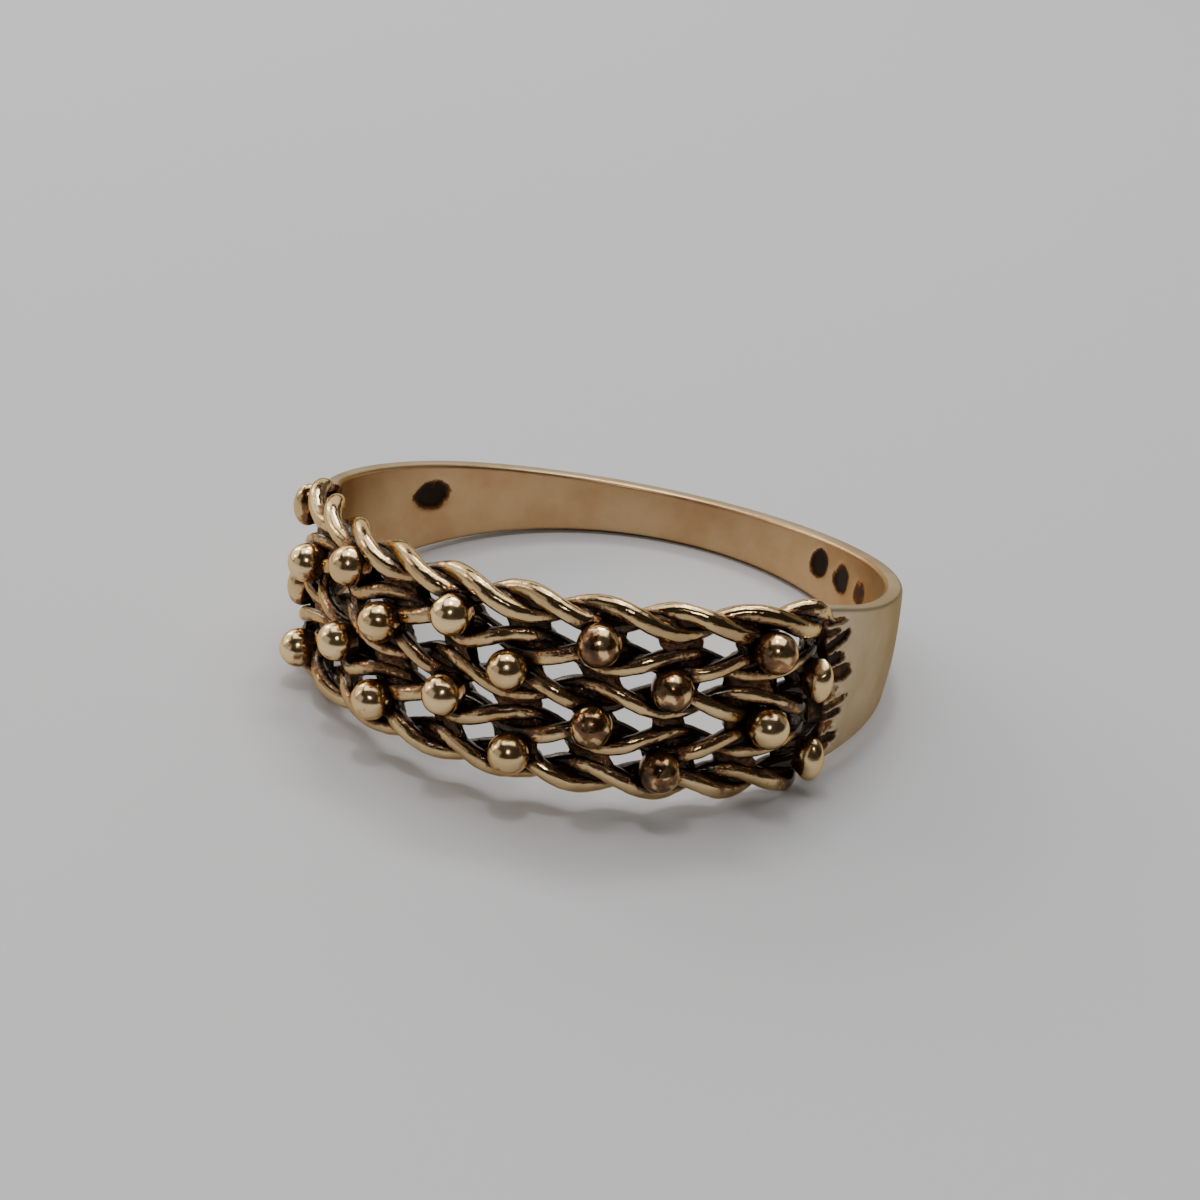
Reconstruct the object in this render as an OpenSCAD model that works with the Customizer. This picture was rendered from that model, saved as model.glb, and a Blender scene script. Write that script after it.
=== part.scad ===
// Keeper ring: five twisted wire ropes laid side by side and soldered into a broad pierced
// front, round beads on the joints between the ropes, and a plain band that tapers to the back.
// Millimetres. The ring lies on its side as it does by itself: on the lower corners of the
// broad front and on the narrow back, so its axis leans back a little.

/* [Band] */
// Inside diameter, the finger size
finger_d = 18.6; // [17:0.1:21]
// Thickness of the band at the middle of its width
band_wall = 0.69; // [0.6:0.01:0.9]
// Width of the band at the back
back_width = 1.9; // [1.5:0.05:2.2]
// Width of the band where it meets the ropes
shoulder_width = 5.2; // [4.8:0.05:5.5]
// Radius of the low crown across the outside of the band
crown_r = 16; // [10:0.5:40]

/* [Ropes] */
// Width over the five ropes
front_width = 6.22; // [6.1:0.02:6.4]
// Thickness of the wire, over its corners
wire_d = 0.69; // [0.64:0.01:0.74]
// Distance between the centres of the two wires of a rope
wire_spread = 0.58; // [0.54:0.01:0.62]
// Thickness of the metal that fills the groove between the two wires
groove_fill = 0.28; // [0.2:0.02:0.4]
// Distance from the wall of the finger hole out to the middle of a rope
rope_depth = 0.53; // [0.5:0.01:0.58]
// Angle of half a turn of the twist, which is also one column of joints
column_angle = 13.2; // [12.8:0.1:13.4]

/* [Beads and solder] */
// Diameter of a bead
bead_d = 1.28; // [1.2:0.01:1.36]
// Height of a bead's centre above the middle of the ropes
bead_lift = 0.64; // [0.56:0.01:0.68]
// Length of the solder between two ropes at a joint, along the ropes
solder_length = 0.8; // [0.5:0.05:1]
// Height of the solder's top above the middle of the ropes
solder_top = 0.24; // [0.1:0.02:0.3]

/* [Graver cuts] */
// Length of a cut in the band beside the ropes
cut_length = 1.05; // [0.6:0.05:1.1]
// Width of a cut
cut_width = 0.34; // [0.26:0.01:0.4]
// Depth of a cut
cut_depth = 0.14; // [0.08:0.01:0.2]

/* [Hidden] */
gold = [0.80, 0.68, 0.45];
ropes = 5;
columns = 10;
column_sections = 5;
wire_sides = 6;
bead_sides = 12;
round_fn = 192;
small_fn = 32;
finger_r = finger_d / 2;
band_r = finger_r + band_wall;
rope_r = finger_r + rope_depth;
wire_r = wire_d / 2;
bead_r = bead_d / 2;
rope_width = wire_spread + 2 * wire_r * cos(180 / wire_sides);
rope_pitch = (front_width - rope_width) / (ropes - 1);
solder_width = 0.65 * rope_pitch;
// The ropes run half a column past the first and last joints, and fade into the band there
rope_end = columns / 2 * column_angle;
fade_angle = 7;
fade_sink = 0.2;
fade_pinch = 0.13;
fade_thin = 0.25;
// The band starts a little before the ropes end, and narrows evenly to the back
band_start = rope_end - 2.5;
shoulder_y = band_r * cos(band_start);
taper = atan((shoulder_width - back_width) / 2 / (band_r + shoulder_y));
blank = 30;
// Graver cuts, side by side across the band
cuts = 11;
cut_pitch = 0.43;
cut_middle = rope_end + 1.3;
cut_slant = 1.1;
cut_stagger = 0.5;
// Set-over of the beads from their joints, as the maker placed them: one row for each column from
// right to left, with degrees along the ropes and millimetres across them for the upper and the
// lower bead
UPPER = 0;
LOWER = 1;
ALONG = 0;
ACROSS = 1;
bead_nudge = [
    [[1.6, 0.04], [3, -0.13]],
    [[2.5, -0.07], [3.5, 0]],
    [[-1.5, 0], [-1.5, -0.1]],
    [[-1, -0.07], [-0.5, -0.1]],
    [[-2, -0.09], [0, -0.17]],
    [[0.5, -0.14], [0.5, -0.16]],
    [[-1, 0.03], [-1, 0]],
    [[3, 0], [1.5, -0.06]],
    [[-1.5, 0.2], [-2.5, -0.3]],
    [[-1, 0.15], [1.5, 0]]
];
// The beads of the first and last columns are squeezed in: shares along, across and outwards
end_bead = [0.5, 1, 0.7];
end_lift = 0.42;
// Plain shallow dents inside the band
DENT_ANGLE = 0;
DENT_Z = 1;
DENT_D = 2;
dents = [
    [-111.5, 0.45, 1.1],
    [-115.5, 0.4, 1.1],
    [143, 0.2, 1.0],
    [134, 0.1, 1.0]
];
dent_depth = 0.1;
// The rest: the lowest rope at its outermost joints and the band's lower edge at the back
outer_joint = column_at(0);
rope_foot_y = (rope_r - wire_r / 2) * cos(outer_joint);
back_edge_y = band_r - crown_drop(back_width / 2);
rest_lean = atan((front_width - back_width) / 2 / (back_edge_y + rope_foot_y));
rest_height = back_edge_y * sin(rest_lean) + back_width / 2 * cos(rest_lean);
// The foremost point is the lowest bead of the fifth column, the rearmost the band's upper edge
front_nudge = bead_nudge[4][LOWER];
front_angle = column_at(4) + front_nudge[ALONG];
front_z = joint_z(0) + front_nudge[ACROSS];
front_y = (rope_r + bead_lift) * cos(front_angle) * cos(rest_lean) - front_z * sin(rest_lean) + bead_r;
rear_y = back_edge_y * cos(rest_lean) + back_width / 2 * sin(rest_lean);

function smooth(t) = let (c = min(1, max(0, t))) c * c * (3 - 2 * c);
function fade(a) = smooth((abs(a) - rope_end + fade_angle) / fade_angle);
function column_at(c) = ((columns - 1) / 2 - c) * column_angle;
function rope_z(j) = (j - (ropes - 1) / 2) * rope_pitch;
function joint_z(i) = rope_z(i) + rope_pitch / 2;
// Neighbouring ropes are twisted opposite ways
function lay(j) = j % 2 == 0 ? -1 : 1;
function outward(a) = [sin(a), -cos(a), 0];
function crown_drop(z) = z * z / 2 / crown_r;

// Outline of a rope: two six-sided wires side by side, joined along the middle
function wire_corner(a) = [wire_spread / 2 + wire_r * cos(a), wire_r * sin(a)];
half_outline = concat([[0, groove_fill / 2]], [for (a = [90 : -360 / wire_sides : -90]) wire_corner(a)]);
outline = concat(half_outline, -half_outline);

// One section of rope j at angle a from the middle of the front, turned by the twist
function rope_section(j, a) =
    let (turn = 180 * a / column_angle,
         f = fade(a),
         size = 1 - fade_thin * f,
         r = rope_r - fade_sink * f,
         z = rope_z(j) * (1 - fade_pinch * f))
    [for (p = outline)
        (r + size * (p[0] * cos(turn) - p[1] * sin(turn))) * outward(a)
            + [0, 0, z + lay(j) * size * (p[0] * sin(turn) + p[1] * cos(turn))]];

module rope(j) {
    steps = columns * column_sections;
    n = len(outline);
    points = [for (i = [0 : steps]) each rope_section(j, -rope_end + i * column_angle / column_sections)];
    walls = [for (i = [0 : steps - 1], k = [0 : n - 1], half = [0, 1])
        let (here = i * n, next = here + n, m = (k + 1) % n)
        half == 0 ? [here + k, next + k, next + m] : [here + k, next + m, here + m]];
    first = [for (k = [0 : n - 1]) k];
    last = [for (k = [n - 1 : -1 : 0]) steps * n + k];
    faces = concat(walls, [first, last]);
    // The opposite twist is a mirror image, so its faces are listed the other way round
    turned = [for (f = faces) [for (k = [len(f) - 1 : -1 : 0]) f[k]]];
    polyhedron(points = points, faces = lay(j) > 0 ? faces : turned, convexity = 6);
}

// Solder fills the joints, which lie between neighbouring ropes in each column
module solder() {
    depth = rope_depth + solder_top + wire_r / 2;
    for (i = [0 : ropes - 2], c = [0 : columns - 1])
        translate((rope_r + solder_top - depth / 2) * outward(column_at(c)) + [0, 0, joint_z(i)])
            rotate([0, 0, column_at(c)])
                cube([solder_length, depth, solder_width], center = true);
}

// Every other joint carries a bead
module beads() {
    for (i = [0 : ropes - 2], c = [0 : columns - 1])
        if ((i + c) % 2 == 0) {
            nudge = bead_nudge[c][i < (ropes - 1) / 2 ? LOWER : UPPER];
            a = column_at(c) + nudge[ALONG];
            at_end = c == 0 || c == columns - 1;
            lift = at_end ? end_lift : bead_lift;
            translate((rope_r + lift) * outward(a) + [0, 0, joint_z(i) + nudge[ACROSS]])
                rotate([90, 0, a])
                    scale(at_end ? end_bead : [1, 1, 1])
                        sphere(d = bead_d, $fn = bead_sides);
        }
}

// The ropes, their solder and the beads as one piece, of the stated width
module front() {
    resize([0, 0, front_width]) {
        for (j = [0 : ropes - 1]) rope(j);
        solder();
        beads();
    }
}

// Section of the band: lightly crowned outside, its inside left for the finger hole to cut
module band_section() {
    intersection() {
        translate([band_r - crown_r, 0])
            circle(r = crown_r, $fn = round_fn);
        translate([finger_r - band_wall / 2, -shoulder_width])
            square([2 * band_wall, 2 * shoulder_width]);
    }
}

// All that lies above the band's upper edge, which slants from the shoulder to the back
module above_edge() {
    translate([0, band_r, back_width / 2])
        rotate([-taper, 0, 0])
            translate([-blank / 2, -blank, 0])
                cube([blank, 2 * blank, blank]);
}

module band() {
    difference() {
        rotate([0, 0, band_start - 90])
            rotate_extrude(angle = 360 - 2 * band_start, $fn = round_fn)
                band_section();
        above_edge();
        mirror([0, 0, 1])
            above_edge();
    }
}

module graver_cuts() {
    for (i = [0 : cuts - 1]) {
        z = (i - (cuts - 1) / 2) * cut_pitch;
        a = cut_middle - cut_slant * z + cut_stagger * (i % 2);
        r = band_r - crown_drop(z) + cut_width / 2 - cut_depth;
        translate(r * outward(a) + [0, 0, z])
            rotate([0, 90, a])
                cylinder(d = cut_width, h = cut_length, center = true, $fn = small_fn);
    }
}

module inside_dents() {
    for (row = dents) {
        ball_r = (row[DENT_D] * row[DENT_D] / 4 + dent_depth * dent_depth) / 2 / dent_depth;
        translate((finger_r + dent_depth - ball_r) * outward(row[DENT_ANGLE]) + [0, 0, row[DENT_Z]])
            sphere(r = ball_r, $fn = round_fn);
    }
}

module upright_ring() {
    difference() {
        union() {
            front();
            difference() {
                band();
                graver_cuts();
                mirror([1, 0, 0])
                    graver_cuts();
            }
        }
        cylinder(d = finger_d, h = blank, center = true, $fn = round_fn);
        inside_dents();
    }
}

module keeper_ring() {
    color(gold)
        translate([0, (front_y - rear_y) / 2, rest_height])
            rotate([-rest_lean, 0, 0])
                upright_ring();
}

keeper_ring();
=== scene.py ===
"""Keeper ring: a broad front of twisted wire ropes and beads, on a plain tapering band.

Sizes are millimetres in the ring's own upright frame: its axis is Z, and angles run in degrees
from the middle of the front, -Y, towards +X. Placing leans the ring back onto its side.
"""

import logging
import math
from collections.abc import Callable
from dataclasses import dataclass, field, replace
from enum import Enum
from itertools import pairwise

import bmesh
import bpy
from mathutils import Matrix, Vector, noise
from mathutils.bvhtree import BVHTree

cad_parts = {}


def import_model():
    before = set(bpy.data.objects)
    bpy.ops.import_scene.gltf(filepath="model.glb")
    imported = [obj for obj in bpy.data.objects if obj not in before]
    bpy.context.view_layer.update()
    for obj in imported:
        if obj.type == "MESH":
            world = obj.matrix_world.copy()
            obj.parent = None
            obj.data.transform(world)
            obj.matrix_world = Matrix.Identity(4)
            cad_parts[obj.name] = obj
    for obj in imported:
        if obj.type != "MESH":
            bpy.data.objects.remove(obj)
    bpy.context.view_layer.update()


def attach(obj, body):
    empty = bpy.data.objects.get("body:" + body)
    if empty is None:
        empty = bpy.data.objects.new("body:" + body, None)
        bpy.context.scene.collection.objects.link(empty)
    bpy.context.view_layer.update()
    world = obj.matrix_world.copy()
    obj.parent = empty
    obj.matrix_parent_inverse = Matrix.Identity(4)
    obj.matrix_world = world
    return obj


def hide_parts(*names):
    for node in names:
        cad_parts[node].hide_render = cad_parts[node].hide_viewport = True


LOG = logging.getLogger("keeper_ring")
BODY = "root"
NODE = "keeper_ring"
METRES = 0.001
# How far outside the finger hole the inside finish still reaches
INSIDE_DEPTH = 0.12
# Degrees to the neighbouring points that give a wire's direction
NEAR = 0.3
# Strays: what fills up a seed of fewer than three numbers, and their strength. The factors in a
# seed set how fast a stray varies along it, or keep the strays of two pieces apart
FILLER = (0.37, 0.71, 0.13)
STRAY_GAIN = 1.6

# Types: a mesh that is still being edited, a node's socket, the ends of a range, and a triple
Mesh = bmesh.types.BMesh
Socket = bpy.types.NodeSocket
Span = tuple[float, float]
Triple = tuple[float, float, float]


def smooth(start: float, end: float, x: float) -> float:
    """Smooth step from 0 at start to 1 at end, which may lie below start."""
    t = min(1.0, max(0.0, (x - start) / (end - start)))
    return t * t * (3 - 2 * t)


def fold(angle: float) -> float:
    """The same angle, from -180 up to 180."""
    return (angle + 180) % 360 - 180


def outward(angle: float) -> Vector:
    """Unit vector from the ring's axis at an angle from the middle of the front."""
    a = math.radians(angle)
    return Vector((math.sin(a), -math.cos(a), 0.0))


def stray(*seed: float) -> float:
    """A repeatable irregularity between about -1 and 1."""
    return noise.noise(Vector((seed + FILLER)[:3])) * STRAY_GAIN


def round_section(k: int, across: int) -> tuple[int, float]:
    """Finds point k round a flat section.

    Args:
        k: the point, from 0 along one side and back along the other.
        across: number of faces to a side.

    Returns:
        The side, 1 or -1, and the place across it, from -1 to 1.
    """
    k %= 2 * across
    side = 1 if k < across else -1
    return side, (2 * (k % across) / across - 1) * side


class Layer(Enum):
    """Vertex layers that the finishes read."""

    RECESS = "recess"
    # The stain layer also carries the painted shade on the inner ropes' upper flanks
    STAIN = "stain"
    FLOW = "flow"


@dataclass(frozen=True)
class Placing:
    """How the upright ring lies on the floor."""

    lean: float = 8.26
    shift_y: float = 0.605
    shift_z: float = 2.371

    def matrix(self) -> Matrix:
        """Upright millimetres to the part's metres.

        Returns:
            The matrix that leans, lifts and scales the ring.
        """
        turn = Matrix.Rotation(math.radians(-self.lean), 4, "X")
        move = Matrix.Translation((0.0, self.shift_y, self.shift_z))
        return Matrix.Scale(METRES, 4) @ move @ turn


@dataclass(frozen=True)
class Layout:
    """Sizes and guide curves that the ropes, beads, solder and band share."""

    finger_r: float = 9.3
    band_wall: float = 0.69
    rope_r: float = 9.83
    outer_wire_r: float = 0.295
    inner_wire_r: float = 0.262
    reach: float = 0.315
    pitch: float = 1.2606
    ropes: int = 5
    columns: int = 10
    column_angle: float = 13.2
    # How the ropes sink, draw together and flatten where they run into the band
    fade_angle: float = 9.0
    fade_sink: float = 0.24
    fade_pinch: float = 0.13
    fade_flatten: float = 0.5
    # How far the wires stray from their true curves, and in how many waves to a degree
    wobble: float = 0.035
    wobble_wave: float = 0.09
    # Degrees before the ropes' end over which grime sets in
    grime_span: Span = (15.0, 5.0)

    @property
    def rope_end(self) -> float:
        """Angle at which the ropes end, half a column past the outermost joints."""
        return self.columns / 2 * self.column_angle

    @property
    def band_r(self) -> float:
        """Outside radius of the band."""
        return self.finger_r + self.band_wall

    def rope_z(self, rope: int) -> float:
        """Height of a rope's centre line."""
        return (rope - (self.ropes - 1) / 2) * self.pitch

    def wire_r(self, rope: int) -> float:
        """Radius of a rope's wires, drawn finer for the inner ropes."""
        return self.outer_wire_r if rope in (0, self.ropes - 1) else self.inner_wire_r

    def joint_z(self, line: int) -> float:
        """Height of the joints between rope `line` and the next."""
        return self.rope_z(line) + self.pitch / 2

    def column_at(self, column: int) -> float:
        """Angle of a column of joints, from right to left."""
        return ((self.columns - 1) / 2 - column) * self.column_angle

    def fade(self, angle: float) -> float:
        """How far the ropes have sunk into the band at an angle, from 0 to 1."""
        return smooth(0.0, 1.0, (abs(angle) - self.rope_end + self.fade_angle) / self.fade_angle)

    def end_grime(self, angle: float) -> float:
        """How far the grime at the ends of the ropes has set in at an angle, from 0 to 1."""
        return smooth(*self.grime_span, self.rope_end - abs(angle))

    def wire(self, rope: int, strand: int, angle: float) -> Vector:
        """Centre line of one wire of a rope.

        Args:
            rope: the rope, 0 at the bottom.
            strand: 0 or 1, the wire of the pair.
            angle: degrees from the middle of the front.

        Returns:
            The point on the centre line.
        """
        lay = -1 if rope % 2 == 0 else 1
        turn = math.pi * angle / self.column_angle + math.pi * strand
        fade = self.fade(angle)
        flat = 1 - self.fade_flatten * fade
        radius = self.rope_r + self.reach * math.cos(turn) * flat - self.fade_sink * fade
        height = self.rope_z(rope) + lay * self.reach * math.sin(turn)
        height += self.wobble * stray(angle * self.wobble_wave, rope * 7.3, strand * 3.1)
        return radius * outward(angle) + Vector((0, 0, height * (1 - self.fade_pinch * fade)))

    def filed(self, point: Vector) -> Vector:
        """Moves a point inside the finger hole out to its wall, as the file left it.

        Args:
            point: a place in upright millimetres.

        Returns:
            The point, no nearer to the axis than the wall of the hole.
        """
        level = math.hypot(point.x, point.y)
        grow = max(1.0, self.finger_r / level)
        return Vector((point.x * grow, point.y * grow, point.z))


LAYOUT = Layout()


@dataclass
class Spot:
    """One vertex of a sheet: its place, its flow and its stain, which on the wires also holds painted shade.

    Flow is its place along and across the metal, and a number that keeps pieces apart.
    """

    place: Vector
    flow: Vector = field(default_factory=Vector)
    stain: float = 0.0


class Sheet:
    """A grid of vertices that a function rolls or bends into shape."""

    def __init__(self, along: int, across: int) -> None:
        """Starts a flat grid.

        Args:
            along: number of faces along the first direction.
            across: number of faces along the second direction.
        """
        self.mesh = bmesh.new()
        bmesh.ops.create_grid(self.mesh, x_segments=along, y_segments=across, size=1.0)
        self.along = along
        self.across = across

    def bend(self, shape: Callable[[int, int], Spot]) -> "Sheet":
        """Moves each vertex to shape(i, k), where i and k count the grid's lines.

        Args:
            shape: the spot for line i along and line k across.

        Returns:
            The sheet itself.
        """
        stain = self.mesh.verts.layers.float.new(Layer.STAIN.value)
        flow = self.mesh.verts.layers.float_vector.new(Layer.FLOW.value)
        for vert in self.mesh.verts:
            i = round((vert.co.x + 1) / 2 * self.along)
            k = round((vert.co.y + 1) / 2 * self.across)
            spot = shape(i, k)
            vert.co = spot.place
            vert[flow] = spot.flow
            vert[stain] = spot.stain
        return self

    def close(self, gap: float) -> Mesh:
        """Welds the seam and caps the open ends.

        Args:
            gap: distance in millimetres within which vertices are welded.

        Returns:
            The closed mesh with its faces outward.
        """
        bmesh.ops.remove_doubles(self.mesh, verts=self.mesh.verts, dist=gap)
        rim = [e for e in self.mesh.edges if e.is_boundary]
        if rim:
            bmesh.ops.holes_fill(self.mesh, edges=rim, sides=0)
        face_out(self.mesh)
        return self.mesh


def face_out(mesh: Mesh) -> None:
    """Points the faces of a closed mesh outward.

    Args:
        mesh: the closed mesh.
    """
    bmesh.ops.recalc_face_normals(mesh, faces=mesh.faces)
    if mesh.calc_volume(signed=True) < 0:
        bmesh.ops.reverse_faces(mesh, faces=mesh.faces)


def keep(name: str, mesh: Mesh) -> bpy.types.Mesh:
    """Stores an edited mesh under a name and frees it.

    Args:
        name: the name of the stored data.
        mesh: the edited mesh, freed here.

    Returns:
        The stored data.
    """
    data = bpy.data.meshes.new(name)
    mesh.to_mesh(data)
    mesh.free()
    return data


def show(name: str, data: bpy.types.ID) -> bpy.types.Object:
    """Adds an object with this data to the scene.

    Args:
        name: the object's name.
        data: its mesh, light or camera.

    Returns:
        The object.
    """
    thing = bpy.data.objects.new(name, data)
    bpy.context.collection.objects.link(thing)
    return thing


def gather(meshes: list[Mesh]) -> Mesh:
    """Joins meshes into one and frees them.

    Args:
        meshes: the meshes to join.

    Returns:
        One mesh with all of their faces and layers.
    """
    whole = bmesh.new()
    for mesh in meshes:
        data = keep("gather", mesh)
        whole.from_mesh(data)
        bpy.data.meshes.remove(data)
    return whole


@dataclass
class Wire:
    """One round wire of a rope, bent round the front with its partner."""

    rope: int
    strand: int
    layout: Layout = LAYOUT
    stations: int = 300
    sides: int = 18
    # Degrees by which it stops before the ropes' end, and over which its tip thins
    end_gap: float = 0.6
    point: float = 6.5
    tip_share: float = 0.8
    # Shares by which it flattens and narrows where it runs into the band
    flatten: float = 0.45
    thin: float = 0.25
    # How uneven its radius is along it, and round it as a share of that
    uneven: float = 0.07
    dented: float = 0.4
    # Share of its radius where the wear of its outer side begins, and what is left beyond
    worn_at: float = 0.88
    worn_share: float = 0.35
    # How far it stands above the band, and the degrees before the ropes' end over which it sinks
    skin: float = 0.03
    proud: float = 0.75
    sink_span: Span = (12.0, 3.5)
    # Grime at its ends and in blotches, its share on the top rope, and the painted shade on the upper flank
    # of the inner ropes, where the rope above keeps light off
    grime: float = 0.45
    blotch: float = 0.12
    clean: float = 0.3
    painted_flank_shade: float = 0.12
    flank: Span = (0.1, -0.9)
    # Scales of its flow coordinates along and round it
    flow_along: float = 1.3
    flow_round: float = 0.3

    @property
    def end(self) -> float:
        """Angle at which the wire stops."""
        return self.layout.rope_end - self.end_gap

    @property
    def on_top(self) -> bool:
        """Whether it belongs to the top rope, which has been rubbed clean and gets no painted shade on its
        upper flank.
        """
        return self.rope == self.layout.ropes - 1

    def radius(self, angle: float, turn: float) -> float:
        """Radius of the wire at an angle along it and a turn round it.

        Args:
            angle: degrees from the middle of the front.
            turn: radians round the wire.

        Returns:
            The uneven radius, which thins out at the tips.
        """
        size = 1 + self.uneven * stray(angle * 0.22, self.rope * 5.7, self.strand * 9.1)
        size += self.dented * self.uneven * stray(angle * 0.9, self.rope * 3.7 + turn, self.strand * 4.1)
        size *= self.layout.wire_r(self.rope)
        return size * (1 - self.tip_share * smooth(self.end - self.point, self.end, abs(angle)))

    def held_down(self, point: Vector, angle: float) -> Vector:
        """Moves a point in towards the band where it stands too far out near the ropes' ends.

        Args:
            point: a place on the wire.
            angle: degrees from the middle of the front.

        Returns:
            The point, no further from the axis than the wire may stand.
        """
        sunk = smooth(*self.sink_span, self.layout.rope_end - abs(angle))
        most = self.layout.band_r + self.skin + self.proud * (1 - sunk)
        level = math.hypot(point.x, point.y)
        if level > most:
            return Vector((point.x * most / level, point.y * most / level, point.z))
        return point

    def stain(self, angle: float, turn: float) -> float:
        """Strength of the stain at an angle along the wire and a turn round it, with the painted shade on
        the upper flank.

        Args:
            angle: degrees from the middle of the front.
            turn: radians round the wire.

        Returns:
            The strength, 0 for clean, unshaded metal.
        """
        grime = self.grime * (self.clean if self.on_top else 1.0)
        stain = grime * self.layout.end_grime(angle)
        stain += self.blotch * grime * stray(angle * 0.15, self.rope * 2.3, self.strand * 6.1)
        if not self.on_top:
            # Painted shade: the upper flank, where the turn's sine is negative, darkened because the rope
            # above keeps light off it
            stain += self.painted_flank_shade * smooth(*self.flank, math.sin(turn))
        return stain

    def build(self) -> Mesh:
        """Meshes the wire.

        Returns:
            A closed mesh in upright millimetres.
        """
        lay = self.layout

        def shape(i: int, k: int) -> Spot:
            """Point k round the wire at station i.

            Args:
                i: the station along the piece.
                k: the point round it.

            Returns:
                The vertex there.
            """
            angle = self.end * (2 * i / self.stations - 1)
            here = lay.wire(self.rope, self.strand, angle)
            ahead = lay.wire(self.rope, self.strand, angle + NEAR)
            behind = lay.wire(self.rope, self.strand, angle - NEAR)
            run = (ahead - behind).normalized()
            out = outward(angle)
            up = (out - out.dot(run) * run).normalized()
            turn = 2 * math.pi * k / self.sides + math.pi
            fade = lay.fade(angle)
            size = self.radius(angle, turn)
            ridge = math.cos(turn)
            ridge = min(ridge, self.worn_at + self.worn_share * (ridge - self.worn_at))
            rise = size * (1 - self.flatten * fade) * ridge
            side = size * (1 - self.thin * fade) * math.sin(turn)
            point = lay.filed(here + rise * up + side * run.cross(up))
            length = math.radians(angle) * lay.rope_r * self.flow_along
            flow = Vector((length, turn * self.flow_round, self.rope * 3 + self.strand))
            return Spot(self.held_down(point, angle), flow, self.stain(angle, turn))

        return Sheet(self.stations, self.sides).bend(shape).close(0.004)


@dataclass
class Groove:
    """Solder that has run between the two wires of a rope, along its whole length."""

    rope: int
    layout: Layout = LAYOUT
    stations: int = 280
    across: int = 8
    # Degrees by which it stops before the ropes' end
    end_gap: float = 0.8
    # Half its thickness in the middle and at the wires, its unevenness, and its thinning at the band
    middle: float = 0.12
    edge: float = 0.21
    uneven: float = 0.3
    thin: float = 0.4
    grime: float = 0.35

    def build(self) -> Mesh:
        """Meshes the filling as a twisted, dished ribbon.

        Returns:
            A closed mesh in upright millimetres.
        """
        lay = self.layout
        end = lay.rope_end - self.end_gap

        def shape(i: int, k: int) -> Spot:
            """Point k round the ribbon's section at station i.

            Args:
                i: the station along the piece.
                k: the point round it.

            Returns:
                The vertex there.
            """
            angle = end * (2 * i / self.stations - 1)
            first, second = (lay.wire(self.rope, strand, angle) for strand in (0, 1))
            ahead = lay.wire(self.rope, 0, angle + NEAR) + lay.wire(self.rope, 1, angle + NEAR)
            side, u = round_section(k, self.across)
            thick = self.middle + (self.edge - self.middle) * u * u
            thick *= 1 + self.uneven * stray(angle * 0.35, self.rope * 4.1, side)
            thick *= 1 - self.thin * lay.fade(angle)
            normal = (second - first).cross(ahead - first - second).normalized()
            point = (first + second) / 2 + (second - first) / 2 * u + normal * thick * side
            return Spot(lay.filed(point), stain=self.grime * lay.end_grime(angle))

        return Sheet(self.stations, 2 * self.across).bend(shape).close(0.003)


@dataclass
class Solder:
    """Dished webs of solder between neighbouring ropes, one at each joint."""

    line: int
    layout: Layout = LAYOUT
    along: int = 30
    across: int = 18
    # Half its length in degrees at its middle and at the wires, and how late it widens
    half_middle: float = 3.5
    half_edge: float = 5.4
    half_bend: float = 2.4
    slant: float = 1.3
    # Its height in the same places, its depth, and how square its ends are
    top_middle: float = 0.12
    top_edge: float = 0.19
    top_bend: float = 2.2
    under: float = 0.40
    end_power: int = 6
    # How much the webs differ, and how uneven each is in length and in thickness
    differ: float = 0.22
    ragged: float = 0.12
    rippled: float = 0.05
    lumpy: float = 0.3
    grime: float = 0.35

    def web(self, column: int) -> Mesh:
        """Meshes the web of one joint.

        Args:
            column: the joint's column, from right to left.

        Returns:
            A closed mesh in upright millimetres.
        """
        lay = self.layout
        centre = lay.column_at(column)
        # The wire of the lower rope that lies uppermost here, and that of the upper rope lowermost
        low = max((0, 1), key=lambda s: lay.wire(self.line, s, centre).z)
        high = min((0, 1), key=lambda s: lay.wire(self.line + 1, s, centre).z)
        fuller = 1 + self.differ * stray(column * 2.9, self.line * 5.3)

        def shape(i: int, k: int) -> Spot:
            """Point k round the web's section at station i.

            Args:
                i: the station along the piece.
                k: the point round it.

            Returns:
                The vertex there.
            """
            s = math.sin(math.pi / 2 * (2 * i / self.along - 1))
            side, u = round_section(k, self.across)
            half = self.half_middle * fuller + (self.half_edge - self.half_middle) * abs(u) ** self.half_bend
            lump = stray(column * 1.7 + s, self.line * 3.1 + u, side)
            ripple = stray(column * 5.3 + 3.1 * s, self.line * 2.7 + 2.6 * u, side * 3.0)
            angle = centre + s * half * (1 + self.ragged * lump + self.rippled * ripple) - self.slant * u
            first = lay.wire(self.line, low, angle)
            second = lay.wire(self.line + 1, high, angle)
            top = self.top_middle * fuller + (self.top_edge - self.top_middle) * abs(u) ** self.top_bend
            thick = top if side > 0 else self.under
            thick *= 1 + self.lumpy * (lump + ripple)
            thick *= math.sqrt(max(0.0, 1 - s**self.end_power))
            point = (first + second) / 2 + (second - first) / 2 * u + outward(angle) * thick * side
            return Spot(lay.filed(point), stain=self.grime * lay.end_grime(angle))

        return Sheet(self.along, 2 * self.across).bend(shape).close(0.002)

    def build(self) -> Mesh:
        """Meshes the webs of this line of joints as one."""
        return gather([self.web(column) for column in range(self.layout.columns)])


@dataclass(frozen=True)
class Setting:
    """Where one bead sits and how it looks.

    It is set over from its joint by degrees along the ropes and millimetres across them. A value
    of flat under 1 gives it a worn facet.
    """

    along: float
    across: float
    size: float = 1.0
    patina: float = 0.0
    flat: float = 1.0


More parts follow.
